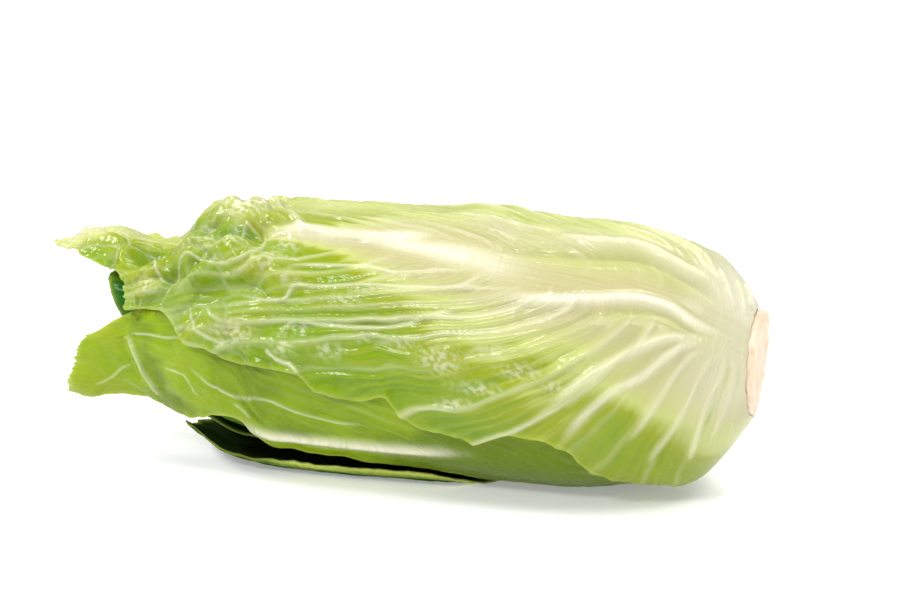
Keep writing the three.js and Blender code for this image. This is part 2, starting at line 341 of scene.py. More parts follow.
# ---- the leaves ----
# By s: middle is the midline, low and high the half widths in degrees on its two sides,
# span the half width that the low side's veins are spread over, rib_width the degrees from
# the midline where side veins start, and cream the width of the cream band in mm.
# end is the far edge, from the low side (-1) to the high side (1). shift, depth, closing and
# lean place the leaf's layer, rest is how high it stays above the floor, and under names the
# leaves that lie over it. swells are (s, angle, length mm, width degrees, height mm), grid is
# the rows and columns of points, upper_reach how much further the high side's veins run, and
# inside how green the inner face is, which on the floor leaf paints shade. tip_wave (mm),
# margin_wave and teeth (degrees) are how ragged the edges are.
PLAIN_LEAF = dict(shift=0, depth=0, closing=0, lean=0, rest=0, under=(), swells=(), upper_reach=1,
                  inside=1, margin_wave=1.5, tip_wave=1.2, teeth=0)
STEM_SWELL = (23, -76, 13, 32, 6)
OUTER_LEAVES = {
    "front_leaf": dict(
        start=2.2, seed=11, grid=(441, 201),
        middle=[(3, 38), (48, 44), (99, 50), (141, 57), (192, 60), (288, 66)],
        low=[(3, 117), (14, 116), (28, 109), (40, 101), (50, 93), (57, 83), (63, 71), (76, 69), (84, 70),
             (98, 76), (118, 75), (126, 72), (132, 66), (145, 69), (157, 68), (166, 62), (180, 60),
             (193, 61), (203, 57.5), (209, 57), (215, 53), (221, 47.5), (228, 44), (242, 46), (288, 50)],
        high=[(3, 60), (40, 70), (288, 66)],
        span=[(3, 62), (15, 78), (40, 80), (60, 78), (100, 74), (190, 62), (288, 56)],
        end=[(-1, 243), (-0.8, 246), (-0.55, 249), (-0.44, 252), (-0.38, 259), (-0.2, 269),
             (0, 276), (0.16, 287), (0.45, 264), (1, 236)],
        swells=[STEM_SWELL, (265, 85, 12, 40, 6.2), (218, 88, 9, 36, 2.2)],
        upper_reach=1.9, margin_wave=2.4,
        rib_width=[(3, 8), (40, 13), (80, 9), (120, 5), (170, 2), (290, 1)],
        cream=[(0, 60), (17, 46), (33, 34), (50, 31), (69, 31), (89, 27), (110, 20), (131, 14),
               (152, 8), (175, 3), (290, 0.5)]),
    "lower_leaf": dict(
        start=3.2, shift=1.5, depth=LAYER, rest=2.1, seed=23, grid=(361, 161),
        under=("front_leaf", "floor_leaf"),
        middle=[(4, -50), (60, -53), (100, -49), (142, -46), (182, -44), (194, -24), (205, -20),
                (218, -20), (243, -22), (280, -24)],
        low=[(4, 45), (30, 56), (60, 55), (85, 46), (100, 26), (115, 12), (150, 10), (180, 8),
             (187, 9), (194, 7), (205, 12), (217, 17), (229, 21), (237, 21), (250, 22), (262, 21),
             (272, 22.5)],
        high=[(4, 60), (60, 72), (142, 68), (182, 64), (194, 48), (205, 44), (231, 42), (241, 39),
              (246, 35), (253, 30), (259, 24), (266, 19)],
        end=[(-1, 274), (-0.5, 272), (0, 268), (0.6, 266), (1, 262)],
        swells=[(268, -48, 18, 30, 7), STEM_SWELL],
        rib_width=[(4, 8), (60, 6), (190, 5), (290, 1)],
        cream=[(0, 40), (30, 14), (60, 5), (190, 4), (200, 1), (290, 0.5)]),
    "floor_leaf": dict(
        start=2.4, depth=0.5, seed=37, grid=(321, 101), inside=0.1, teeth=1.2,
        middle=[(3, -100), (250, -100)],
        low=[(3, 38), (60, 42), (250, 42)],
        high=[(3, 10), (88, 10), (108, 32), (124, 44), (170, 44), (250, 40)],
        end=[(-1, 200), (-0.3, 222), (0.3, 230), (0.8, 228), (1, 222)],
        swells=[(170, -60, 55, 22, 2.5), (228, -58, 24, 24, -4), STEM_SWELL],
        rib_width=[(3, 8), (60, 6), (200, 2), (290, 1)],
        cream=[(0, 40), (40, 12), (120, 6), (200, 1), (290, 0.5)]),
    "top_leaf": dict(
        start=3.2, shift=1.5, depth=LAYER, closing=5, seed=41, grid=(321, 141),
        under=("front_leaf",),
        middle=[(4, 146), (290, 150)],
        low=[(4, 48), (60, 60), (290, 60)],
        high=[(4, 40), (60, 50), (290, 52)],
        end=[(-1, 232), (-0.4, 257), (0, 268), (0.3, 266), (0.7, 248), (1, 228)],
        rib_width=[(4, 9), (60, 8), (120, 5), (200, 2), (290, 1)],
        cream=[(0, 50), (20, 28), (60, 13), (120, 7), (180, 3), (290, 0.5)]),
    "back_leaf": dict(
        start=6, shift=3, depth=2 * LAYER + 0.6, closing=10, rest=4.4, seed=53, grid=(281, 121),
        under=("top_leaf", "lower_leaf", "floor_leaf"),
        middle=[(6, 212), (290, 212)],
        low=[(6, 38), (60, 44), (290, 44)],
        high=[(6, 46), (60, 56), (290, 56)],
        end=[(-1, 232), (-0.3, 254), (0, 260), (0.4, 251), (1, 226)],
        rib_width=[(6, 9), (60, 8), (120, 5), (200, 2), (290, 1)],
        cream=[(0, 50), (20, 26), (60, 12), (120, 6), (180, 3), (290, 0.5)]),
}

RINGS = {
    "inner_leaf": dict(first=30, start=12, shift=7, closing=12, tips=(253, 250, 253, 248, 246),
                       first_end=[(-1, 235), (-0.5, 251), (0, 255), (0.4, 258), (0.8, 258), (1, 248)],
                       swells=[(256, 42, 24, 36, 17)], grid=(141, 61),
                       under=("front_leaf", "lower_leaf", "top_leaf", "back_leaf")),
    "heart_leaf": dict(first=40, start=22, shift=16, closing=10, tips=(248, 243, 246, 241),
                       grid=(81, 41)),
    "core_leaf": dict(first=80, start=35, shift=28, closing=6.5, tips=(238, 234, 236),
                      grid=(61, 41)),
}


def ring_leaves():
    """The wrapped leaves inside, in rings that each lap over their next neighbour."""
    leaves = {}
    for order, (name, ring) in enumerate(RINGS.items()):
        spacing = 360 / len(ring["tips"])
        start = ring["start"]
        reach = [(start, 0.38 * spacing), (start + 60, 0.67 * spacing), (290, 0.67 * spacing)]
        for i, tip in enumerate(ring["tips"]):
            middle = ring["first"] + i * spacing
            end = [(-1, tip - 22), (-0.4, tip - 4), (0, tip), (0.5, tip - 6), (1, tip - 26)]
            if i == 0:
                end = ring.get("first_end", end)
            leaves[f"{name}_{i + 1}"] = dict(
                start=start, shift=ring["shift"], depth=INNER_DEPTH + RING_STEP * order,
                closing=ring["closing"], lean=RING_LEAN, seed=101 + 20 * order + i,
                grid=ring["grid"], under=ring.get("under", ()), low=reach, high=reach, end=end,
                middle=[(start, middle), (290, middle)], swells=ring.get("swells", ()),
                rib_width=[(start, 10), (120, 6), (290, 2)], margin_wave=0.8, tip_wave=0.5,
                cream=[(0, 40), (60, 12), (150, 5), (290, 1)])
    return leaves


LEAVES = {name: SimpleNamespace(**PLAIN_LEAF | leaf)
          for name, leaf in (OUTER_LEAVES | ring_leaves()).items()}


def cover(sheet):
    """1 where another leaf lies over this one, 0 in the open."""
    s, angle = sheet.s, sheet.angle
    hidden = np.zeros(sheet.shape)
    for name in sheet.leaf.under:
        over = LEAVES[name]
        middle = curve(over.middle, s)
        turn = (angle - middle + 180) % 360 - 180
        side = np.where(turn < 0, curve(over.low, s), curve(over.high, s))
        v = turn / side
        depth = np.minimum((1 - np.abs(v)) * side * sheet.per_degree,
                           curve(over.end, np.clip(v, -1, 1)) - s)
        hidden = np.maximum(hidden, ramp(depth, -1, 5))
    return hidden


# ---- relief and colour of each leaf ----
# Each line is ((s, angle) points, width mm, height mm, paleness), where less than 0 is greener: painted
# shade in creases and dents.
CREASE = [(96, 57), (72, 57), (57, 58), (43, 61), (33, 60), (23, 56), (15, 53), (9, 48)]
CREASE_ANGLE = [(3, 47), (9, 48), (23, 56), (33, 60), (43, 61), (57, 58), (93, 57), (288, 62)]
FRONT_LINES = [
    # the crease above the rib, the ridges on both sides of it and the fan below
    (CREASE, 2.0, -2.2, -0.06), (CREASE[:4], 3.0, 0.0, -0.1),
    ([(80, 69), (59, 68), (43, 70), (31, 65), (21, 61), (13, 60), (6, 54)], 3.6, 3.0, 0.6),
    ([(90, 33), (68, 34), (53, 37), (38, 40), (28, 39), (20, 34), (10, 32), (4, 31)], 2.6, 2.4, 0.95),
    ([(60, 27), (45, 31), (29, 33), (20, 27), (12, 21)], 2.2, -1.4, -0.15),
    ([(10, 27), (27, 24), (39, 16), (50, 8), (61, -1), (70, -10)], 2.0, 1.7, 0.6),
    ([(10, 25), (21, 22), (29, 13), (36, 5), (43, 1), (50, -5), (59, -15), (65, -24)], 1.8, 1.8, 0.7),
    ([(10, 23), (17, 19), (23, 10), (27, 1), (31, -8), (36, -17), (42, -26)], 1.5, 1.5, 0.5),
    ([(9, 22), (13, 14), (17, 3), (20, -8), (25, -21), (32, -33), (36, -42)], 1.5, 1.5, 0.5),
    ([(9, 24), (10, 3), (14, -10), (17, -26), (22, -50)], 1.5, 1.8, 0.55),
    ([(6, 20), (7, -8), (11, -28), (15, -44)], 1.4, 1.4, 0.5),
    ([(8, 18), (9, 1), (12, -15), (16, -31)], 1.3, -1.6, -0.35),
    ([(5, 30), (5, 5), (6, -15)], 1.5, -1.2, -0.1),
    # short ridges over the shoulder by the cut, pale as ribs are and paler still as painted highlight,
    # and long low folds along the top
    ([(4, 56), (7, 73), (10, 86)], 1.7, 2.2, 0.85),
    ([(7, 52), (11, 66), (16, 79)], 1.8, 2.2, 0.8),
    ([(3.5, 70), (5, 84), (8, 99)], 1.5, 1.8, 0.8),
    ([(12, 62), (17, 73), (24, 86)], 2.0, 1.2, 0.4),
    ([(125, 83), (107, 77), (87, 75), (67, 72)], 2.4, 1.4, 0.4),
    ([(104, 100), (89, 98), (64, 92), (43, 85), (27, 74)], 2.8, 1.6, 0.3),
    ([(78, 103), (57, 98), (41, 94), (25, 88), (16, 78)], 2.8, 1.5, 0.3),
    # the broad white rib, where it climbs over the shoulder, and the folds behind it
    ([(186, 64), (174, 62), (158, 60), (140, 60), (120, 62)], 3.6, 0.8, 1.0),
    ([(135, 57), (156, 58), (168, 60), (175, 63), (178, 68), (185, 77), (193, 86), (204, 93),
      (216, 100)], 1.8, 1.8, 0.4),
    ([(160, 62), (174, 60), (188, 57), (187, 49), (189, 43.5), (195, 40), (202, 39), (209, 41),
      (214, 43), (219, 44), (222, 39), (222, 33), (227, 33.5), (232, 42), (239, 57), (246, 74)],
     0.6, 0.9, 0.55),
    ([(189, 57), (198, 63), (198, 58), (197.5, 53), (201, 49), (210, 47), (217, 46.5)], 0.6, 0.7, 0.45),
    ([(204, 93), (208, 80), (213, 64), (214, 52)], 0.6, 0.5, 0.35),
    ([(211, 55), (203, 56), (196, 57), (188, 60)], 4.0, -1.4, -0.4),
    ([(244, 58), (235, 58), (226, 58)], 5.0, -1.4, -0.35),
    ([(244, 25), (233, 28), (220, 30), (211, 31), (206, 36)], 2.6, 3.2, 0.15),
    ([(240, 22), (228, 23), (216, 24)], 2.0, -2.0, 0.0),
    # long side veins that bend where the leaf crumples
    ([(100, 44), (115, 43), (130, 41), (145, 43), (161, 42), (169, 41), (174, 38), (176, 35)],
     0.7, 0.7, 0.6),
    ([(83, 38), (113, 35), (149, 34), (162, 32), (170, 31), (172, 27), (186, 26), (191, 27),
      (196, 30)], 0.7, 0.8, 0.65),
    ([(97, 29), (112, 25), (126, 19), (144, 17), (157, 17), (170, 16), (173, 11), (175, 6)],
     0.7, 0.8, 0.65),
    ([(180, 7), (175, 3), (167, 0), (163, -4)], 0.8, 0.5, 0.6),
    ([(205, 22), (197, 16), (186, 14)], 0.8, 0.5, 0.4),
    ([(213, 22), (206, 12), (198, 8), (190, 4)], 0.8, 0.4, 0.5),
]
LOWER_LINES = [
    ([(243, 5), (240, -6), (237, -16), (233, -25), (229, -36)], 1.6, 1.8, 0.4),
    ([(247, 3), (244, -7), (241, -18), (237, -28)], 2.6, -1.2, 0.0),
    ([(261, -35), (253, -29), (245, -19), (241, -16)], 0.5, 0.4, 0.4),
    ([(243, 3), (232, 5), (223, 5), (214, 7)], 0.5, 0.4, 0.4),
    ([(226, -11), (214, -12), (211, -19), (208, -23)], 0.5, 0.4, 0.4),
    ([(213, -6), (201, -14), (191, -18), (180, -18), (171, -22), (160, -25), (140, -27)],
     0.6, 0.5, 0.5),
    ([(196, -20), (191, -24), (188, -31)], 0.7, 0.6, 0.4),
    ([(200, -31), (192, -36), (184, -39), (172, -40), (152, -40.5), (128, -40), (104, -38.5)],
     3.2, 1.3, 1.0),
    ([(60, -47), (48, -52), (34, -57), (20, -60)], 1.0, 0.6, 0.7),
]

# Each fold is s, angle, length mm, width mm, height mm: the big dents and bulges of the loose end.
FRONT_FOLDS = [
    (204, 76, 15, 13, 2.6), (192, 59, 7, 5.5, -3.4), (197, 49, 8, 6, 2.4), (184, 41, 8, 5, 2.4),
    (218, 50, 6, 6, 2.4), (231, 66, 8, 9, -2.0), (241, 55, 6, 5, -4.0), (222, 36, 5, 6, -4.0),
    (252, 66, 8, 8, 2.0), (172, 34, 9, 4.5, 1.6), (224, 15, 5, 4, -2.5), (208, 34, 6, 4.5, 2.2),
    (236, 38, 6, 5, 1.8), (203, 27, 7, 4, -2.2), (190, 31, 8, 4.5, -1.8), (199, 16, 9, 6, 2.0),
    (211, 10, 7, 5, 1.6), (180, 20, 9, 5, 1.4), (166, 6, 10, 5, 1.2), (185, 84, 8, 8, -2.0),
    (262, 84, 9, 8, -1.6), (212, 62, 5, 5, -2.2), (203, 98, 5, 16, -3.4),
]
# The top leaf gives way under a deep fold of the front leaf.
TOP_FOLDS = [(203, 98, 7, 22, -1.8)]
FOLD_STRENGTH = 1.9
# How far relief may sink where leaves lie close, and how far a covered leaf lies below its layer.
DEEPEST, COVERED = -0.9, 0.3

# Painted highlights, pale patches where the wet blistered skin would shine: s, angle, length mm, width
# mm, paleness.
FRONT_PAINTED_HIGHLIGHTS = [
    (183, 42, 6, 5, 0.6), (197, 50, 5, 4, 0.5), (215, 64, 5, 4, 0.45), (202, 75, 9, 7, 0.95),
    (192, 11, 8, 6, 0.6), (172, 34, 4, 3, 0.45), (218, 49, 4, 2, 0.5), (255, 95, 6, 6, 0.5),
    (233, 29, 8, 2.5, 0.55), (153, 7, 6, 3, 0.5), (165, 16, 4, 3, 0.5), (149, 28, 7, 3, 0.5),
    (204, 41, 5, 3, 0.45), (187, 29, 4, 3, 0.45), (171, 8, 5, 4, 0.5), (140, 14, 5, 2.5, 0.5),
    (110, 7, 8, 5, 0.6), (79, 5, 8, 3, 0.5), (91, 12, 7, 3, 0.45), (126, 12, 9, 2.5, 0.4),
    (140, 33, 9, 3, 0.5), (95, -3, 9, 2.5, 0.55), (104, -10, 8, 2, 0.5), (66, 0, 6, 2.5, 0.45),
    (272, 80, 10, 8, 0.7), (262, 88, 9, 6, 0.5), (252, 98, 9, 9, 0.5),
    (196, 77, 6, 4, 0.7), (211, 80, 6, 4, 0.8), (234, 32, 7, 2.5, 0.55),
    (226, 58, 6, 4, 0.45), (211, 52, 6, 4, 0.5), (178, 52, 7, 4, 0.45),
]


def painted_highlights(sheet, table):
    """Speckled painted highlights: pale patches where the wet skin would shine."""
    seed = sheet.seed
    speckle = ramp(rough(sheet.arc / 2.4, sheet.across / 1.8, seed + 31, 2), -0.2, 0.25)
    pale = np.zeros(sheet.shape)
    for *place, paleness in table:
        pale = np.maximum(pale, paleness * sheet.spot(*place))
    return pale * (0.2 + 0.8 * speckle)


def lowest(sheet):
    """How far the relief of a leaf may sink before it meets the leaf below."""
    s, angle = sheet.s, sheet.angle
    if sheet.leaf is not LEAVES["front_leaf"]:
        return DEEPEST
    room = ramp(angle, 24, 36) * fade(angle, 72, 84) * ramp(s, 140, 170)
    dip = bell((s - 203) / 6) * ramp(angle, 76, 90)
    return DEEPEST - np.maximum(4.0 * room, 2.2 * dip)


def folds(sheet, table):
    """The height that a table of folds adds."""
    height = np.zeros(sheet.shape)
    for *place, rise in table:
        height += FOLD_STRENGTH * rise * sheet.spot(*place)
    return height


def lines(sheet, table):
    """The height, paleness and greenness that a table of lines adds; the greenness is painted shade."""
    height, pale, green = (np.zeros(sheet.shape) for _ in range(3))
    for points, width, rise, paleness in table:
        near = sheet.stroke(points, width)
        height += rise * near
        pale = np.maximum(pale, paleness * near)
        green = np.maximum(green, -paleness * near)
    return height, pale, green


def pillows(sheet, size, seed):
    """Rounded puffs between sharp valleys, about size mm across; also their valleys."""
    arc, across = sheet.arc, sheet.across
    shift = 0.35 * size
    x = arc + shift * noise(arc / size, across / size, seed)
    y = across + shift * noise(arc / size, across / size, seed + 1)
    walls = cells(x / (size * 1.3), y / size, seed + 2)
    rise = np.clip(walls / 0.75, 0, 1)
    return rise * (2 - rise), bell(walls * size / 1.1)


def veined(sheet, strength=1.0, crumple=1.0):
    """Side veins with pleats between them, and the puffs of the crumpled end."""
    seed, s, arc, across, phase = sheet.seed, sheet.s, sheet.arc, sheet.across, sheet.phase
    tip = ramp(s, 150, 212)
    away = ramp(np.abs(across), 2, 14)
    main = vein_lines(sheet, 1, 1.05, seed + 2) * away
    minor = vein_lines(sheet, 4, 0.7, seed + 3) * away
    pleats = noise(phase * 2.1, arc / 70, seed + 6) + 0.4 * noise(phase * 5.3, arc / 45, seed + 7)
    puffs, valleys = pillows(sheet, 15.0, seed + 8)
    small_puffs, net = pillows(sheet, 6.0, seed + 11)
    swell = rough(arc / 32, across / 22, seed + 14, 2)
    dimples = rough(arc / 6, across / 5, seed + 15, 2)
    height = strength * (1 - 0.6 * tip) * (1.3 * main + 0.5 * minor + 0.95 * pleats * away)
    height = height + crumple * (tip * (3.0 * puffs - 1.2) + (0.1 + 0.3 * tip) * small_puffs)
    height = height + crumple * ((0.3 + 2.0 * tip) * swell + (0.12 + 0.55 * tip) * dimples)
    faint = 0.12 - 0.09 * ramp(s, 90, 150)
    pale = np.maximum(0.7 * main, faint * minor) * (1 - 0.5 * tip)
    pale = np.maximum(pale, tip * np.maximum(0.25 * valleys, 0.04 * net))
    return height, np.clip(pale * (0.35 + 0.65 * strength), 0, 1)


# How many millimetres it takes for the cream by the rib to turn to green, by s.
CREAM_FADE = [(0, 32), (50, 24), (110, 15), (150, 8), (180, 3), (290, 2)]


def greenness(sheet, height):
    """0 in the cream near the rib and the stem, rising to 1 in the blade; painted shade greens its
    hollows.
    """
    s, arc, across = sheet.s, sheet.arc, sheet.across
    seed = sheet.seed
    width = curve(sheet.leaf.cream, s)
    patches = rough(arc / 35, across / 18, seed + 17, 2)
    streaks = noise(sheet.phase * 3.3, arc / 60, seed + 19)
    patchy = 0.06 + 0.16 * ramp(s, 50, 110)
    uneven = 0.08 + 0.22 * ramp(s, 20, 90)
    distance = np.abs(across) * (1 + patchy * patches + uneven * streaks)
    blade = ramp(distance, 0.4 * width, 1.25 * width + curve(CREAM_FADE, s))
    blade = np.maximum(blade, ramp(s, 178, 205))
    # Greener towards the tip is the leaf's own tone; greener in hollows and paler on bulges, by height,
    # is painted shade and painted light.
    tone_and_painted_shade = 0.62 + 0.3 * ramp(s, 60, 190) - 0.05 * np.clip(height, -2.5, 2.5)
    return np.clip(blade * tone_and_painted_shade + (0.08 + 0.1 * ramp(s, 140, 200)) * patches, 0, 1)


def margin_ruffle(sheet, amount):
    """Small waves along the edge of a leaf, mostly near its tip."""
    edge = bell(sheet.inset / 7)
    waves = rough(sheet.arc / 14, sheet.across / 14, sheet.seed + 20, 2)
    return amount * edge * waves * ramp(sheet.s, 60, 200)


def front_relief(sheet):
    s, angle, arc, across = sheet.s, sheet.angle, sheet.arc, sheet.across
    height, pale = veined(sheet)
    on_top = ramp(angle, 44, 58)
    by_stem = ramp(s, 10 + 30 * on_top, 75 + 45 * on_top)
    height, pale = height * (0.15 + 0.85 * by_stem), pale * (0.3 + 0.7 * by_stem)
    line_height, line_pale, painted_crease_shade = lines(sheet, FRONT_LINES)
    height = height + line_height + folds(sheet, FRONT_FOLDS)
    # Greener towards the bottom of the head and less green over its top: painted shade and painted
    # light. Paler on the upper face of the tip: painted light.
    green = greenness(sheet, height) * (0.8 + 0.3 * ramp(-angle, -45, 20))
    green = green * (1 - 0.45 * ramp(angle, 66, 88) * ramp(s, 90, 150))
    green = green * (1 - 0.65 * ramp(angle, 60, 72) * ramp(s, 256, 268))
    green = green + painted_crease_shade + 0.1 * on_top * fade(s, 20, 130)
    above = angle - curve(CREASE_ANGLE, s)
    step = ramp(above, -2, 9) * fade(s, 60, 120) * ramp(s, 3, 20)
    trough = bell((above + 10) / 9) * fade(s, 30, 110)
    crest = noise(arc / 22, 0, 91) * ramp(angle, 76, 92)
    height = height + 2.3 * step - 1.4 * trough + 1.6 * crest * ramp(s, 80, 120)
    lip = bell(sheet.from_margin / 3.5) * (sheet.v < 0) * ramp(s, 44, 60)
    height = height + margin_ruffle(sheet, 1.6) + 1.2 * lip
    rib = bell(across / curve([(3, 14), (60, 9), (110, 5), (165, 1.5), (290, 0.6)], s))
    rib = 0.95 * rib * fade(s, 125, 185) * ramp(s, 70, 115)
    # The leaf base by the cut is pale, its own colour; paler on top and less pale below as painted light
    # and shade. The pale band over the top further out is painted light.
    base = (0.5 + 0.35 * on_top) * fade(s, 6, 34) * (1 - 0.7 * ramp(-angle, 10, 45))
    base = np.maximum(base, 0.2 * ramp(angle, 64, 82) * fade(s, 170, 215))
    # Painted highlights: pale speckled patches standing in for the gloss of the wet skin.
    painted_gloss = painted_highlights(sheet, FRONT_PAINTED_HIGHLIGHTS)
    return height, np.maximum.reduce([pale, line_pale, rib, base, painted_gloss]), green


def lower_relief(sheet):
    s, angle = sheet.s, sheet.angle
    height, pale = veined(sheet, strength=0.35, crumple=0.3)
    line_height, line_pale, _ = lines(sheet, LOWER_LINES)
    green = np.maximum(greenness(sheet, height), 0.8 * ramp(s, 20, 70))
    # Greener and less pale under the front leaf's lip: painted shade. Less green towards the lobe's tip:
    # painted light.
    shaded = ramp(-angle, 20, 36) * fade(s, 105, 150)
    green = green + 0.4 * shaded - 0.2 * ramp(s, 226, 250)
    height = height + line_height + margin_ruffle(sheet, 0.8)
    return height, np.maximum(0.3 * pale * (1 - shaded), line_pale), green


def floor_relief(sheet):
    s, arc = sheet.s, sheet.arc
    height, pale = veined(sheet, strength=0.5, crumple=0.3)
    teeth = 0.5 + 0.5 * noise(arc / 1.7, 0, 38)
    rim = bell(sheet.from_margin / 6.0) * (sheet.v > 0) * ramp(s, 90, 110)
    rim = rim * fade(s, 176, 196)
    height = height - 1.2 * rim * teeth
    # Painted light and shade: this greenness runs the floor leaf from near black in the gap under the
    # lower leaf to bright lime, with pale teeth, on its rim.
    open_side = np.maximum(ramp(-sheet.v, 0, 0.5), fade(s, 70, 110))
    green = 0.3 + 0.3 * open_side + 0.7 * rim
    base = 0.75 * fade(s, 8, 45)
    return height, np.maximum(0.2 * pale + 0.35 * rim * teeth, base), np.clip(green, 0, 1)


def plain_relief(sheet):
    height, pale = veined(sheet)
    rib = bell(sheet.across / curve([(3, 8), (60, 6), (120, 3.5), (220, 1), (290, 0.6)], sheet.s))
    green = greenness(sheet, height)
    height = height + 1.6 * rib * fade(sheet.s, 60, 220) + margin_ruffle(sheet, 1.6)
    return height, np.maximum(pale, 0.95 * rib), green


def inner_relief(sheet):
    height, pale = veined(sheet, strength=0.5, crumple=0.4)
    rib = bell(sheet.across / curve([(3, 6), (120, 3), (290, 0.8)], sheet.s))
    green = greenness(sheet, height)
    height = 0.5 * height + 0.8 * rib * fade(sheet.s, 80, 230)
    return height, np.maximum(pale, 0.9 * rib) * fade(sheet.s, 205, 235), green


RELIEFS = {"front_leaf": front_relief, "lower_leaf": lower_relief, "floor_leaf": floor_relief,
           "top_leaf": plain_relief, "back_leaf": plain_relief}


# ---- meshes ----
# The inner side has one row and column of points for this many of the outer side.
COARSE = 4
# Where a leaf is pressed flat, its inner side lies this many mm above the outer side.
INNER_LIFT = 0.9
# In the UV square: the width of each side, where the inner side starts, the height, and the
# columns of the rim's outer and inner points.
UV_SIDE, UV_INNER, UV_HEIGHT, UV_RIM = 0.46, 0.48, 0.98, (0.96, 0.99)


def grid_faces(index):
    """The four corners of every cell of a grid of point numbers."""
    corners = (index[:-1, :-1], index[:-1, 1:], index[1:, 1:], index[1:, :-1])
    return [tuple(face) for face in np.stack([c.ravel() for c in corners], axis=1).tolist()]


def edge_loop(index):
    """The point numbers round the edge of a grid, in order."""
    return np.concatenate([index[0, :-1], index[:-1, -1], index[-1, :0:-1], index[:0:-1, 0]])


def shell_mesh(name, outer, inner, fields):
    """One closed mesh: a fine outer grid of points, a coarser inner one, and a rim between."""
    rows, columns = outer.shape[:2]
    inner = inner[::COARSE, ::COARSE]
    fine = np.arange(rows * columns).reshape(rows, columns)
    coarse = np.arange(inner.shape[0] * inner.shape[1]).reshape(inner.shape[:2]) + fine.size
    front, back = grid_faces(fine), grid_faces(coarse[:, ::-1])
    around_fine, around_coarse = edge_loop(fine), edge_loop(coarse)
    rim = []
    for i, here in enumerate(around_coarse):
        ahead = around_coarse[(i + 1) % len(around_coarse)]
        fine_side = [int(around_fine[(i * COARSE + k) % len(around_fine)]) for k in range(COARSE + 1)]
        rim.append(tuple(fine_side[::-1] + [int(here), int(ahead)]))
    mesh = bpy.data.meshes.new(name)
    points = np.concatenate([outer.reshape(-1, 3), inner.reshape(-1, 3)])
    mesh.from_pydata(points.tolist(), [], front + back + rim)
    for field, (kind, outside, inside) in fields.items():
        both = np.concatenate([outside.reshape(rows * columns, -1),
                               inside[::COARSE, ::COARSE].reshape(coarse.size, -1)])
        layer = mesh.attributes.new(field, kind, "POINT")
        layer.data.foreach_set("color" if kind == "FLOAT_COLOR" else "vector",
                               both.astype(np.float32).ravel())
    add_uv(mesh, (rows, columns), inner.shape[:2], len(front), len(back))
    mesh.shade_smooth()
    return mesh


def add_uv(mesh, fine, coarse, front, back):
    """The outer side in one half of the square, the inner side in the other, the rim apart."""
    corner = np.empty(len(mesh.loops), np.int32)
    mesh.loops.foreach_get("vertex_index", corner)
    inside = corner >= fine[0] * fine[1]
    row, column = np.divmod(corner, fine[1])
    inner_row, inner_column = np.divmod(corner - fine[0] * fine[1], coarse[1])
    u = np.where(inside, UV_INNER + UV_SIDE * inner_column / (coarse[1] - 1),
                 UV_SIDE * column / (fine[1] - 1))
    v = UV_HEIGHT * np.where(inside, inner_row / (coarse[0] - 1), row / (fine[0] - 1))
    first = 4 * (front + back)
    count = (len(corner) - first) // (COARSE + 3)
    steps = np.append(np.arange(COARSE, -1, -1), [0, COARSE]) / COARSE
    v[first:] = UV_HEIGHT * ((np.arange(count)[:, None] + 0.1 + 0.8 * steps) / count).ravel()
    u[first:] = np.where(inside[first:], UV_RIM[1], UV_RIM[0])
    layer = mesh.uv_layers.new(name="OFBake")
    layer.uv.foreach_set("vector", np.stack([u, v], axis=-1).astype(np.float32).ravel())


def put(name, data):
    """A new object in the scene."""
    obj = bpy.data.objects.new(name, data)
    bpy.context.scene.collection.objects.link(obj)
    return obj


def add_piece(name, mesh, material, node):
    piece = put(name, mesh)
    mesh.materials.append(material)
    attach(piece, "root")
    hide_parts(node)
    return piece


def build_leaf(name, material):
    leaf = LEAVES[name]
    sheet = Sheet(leaf, *leaf.grid)
    s, angle, radius, inset = sheet.s, sheet.angle, sheet.radius, sheet.inset
    height, pale, green = RELIEFS.get(name, inner_relief)(sheet)
    hidden = cover(sheet)
    height = np.maximum(height, lowest(sheet)) * (1 - hidden) - COVERED * hidden
    if name == "top_leaf":
        height = height + folds(sheet, TOP_FOLDS)
    thickness = EDGE_THICKNESS + ADDED_THICKNESS * ramp(inset, 0, 6)
    outer = to_frame(s, angle, radius + height, leaf.rest)
    inner = to_frame(s, angle, radius + height - thickness, leaf.rest + INNER_LIFT)
    edge = bell(inset / 1.5)
    streaked = (0.12 + 0.78 * ramp(s, 15, 80)) * (1 - 0.75 * ramp(s, 110, 190))
    # pale carries the veins' own colour and painted highlights; green the leaf's own green with painted
    # shade and light.
    masks = np.stack([pale, green, edge, streaked], axis=-1)
    inside = masks * (1, leaf.inside, 1, 1)
    flow = np.stack([sheet.phase, sheet.arc / 10, sheet.across / 10], axis=-1)
    fields = {"leaf": ("FLOAT_COLOR", masks, inside), "flow": ("FLOAT_VECTOR", flow, flow)}
    add_piece(name + "_blade", shell_mesh(name + "_blade", outer, inner, fields), material, name)


# ---- materials ----
def srgb(red, green, blue):
    """A colour given as 0 to 255 screen values, as linear light."""
    values = np.array([red, green, blue]) / 255
    linear = np.where(values <= 0.04045, values / 12.92, ((values + 0.055) / 1.055) ** 2.4)
    return tuple(linear) + (1.0,)


CREAM = srgb(170, 166, 120)
PALE_GREEN = srgb(172, 180, 103)
YELLOW_GREEN = srgb(132, 144, 6)
BLADE_GREEN = srgb(111, 138, 3)
DEEP_GREEN = srgb(72, 106, 2)
VEIN = srgb(214, 211, 188)
EDGE = srgb(172, 180, 76)
TAN = srgb(160, 142, 92)
WHITE = (1, 1, 1, 1)

# In metres.
SCATTER_DEPTH = 0.003
BUMP_DEPTH = 0.0008


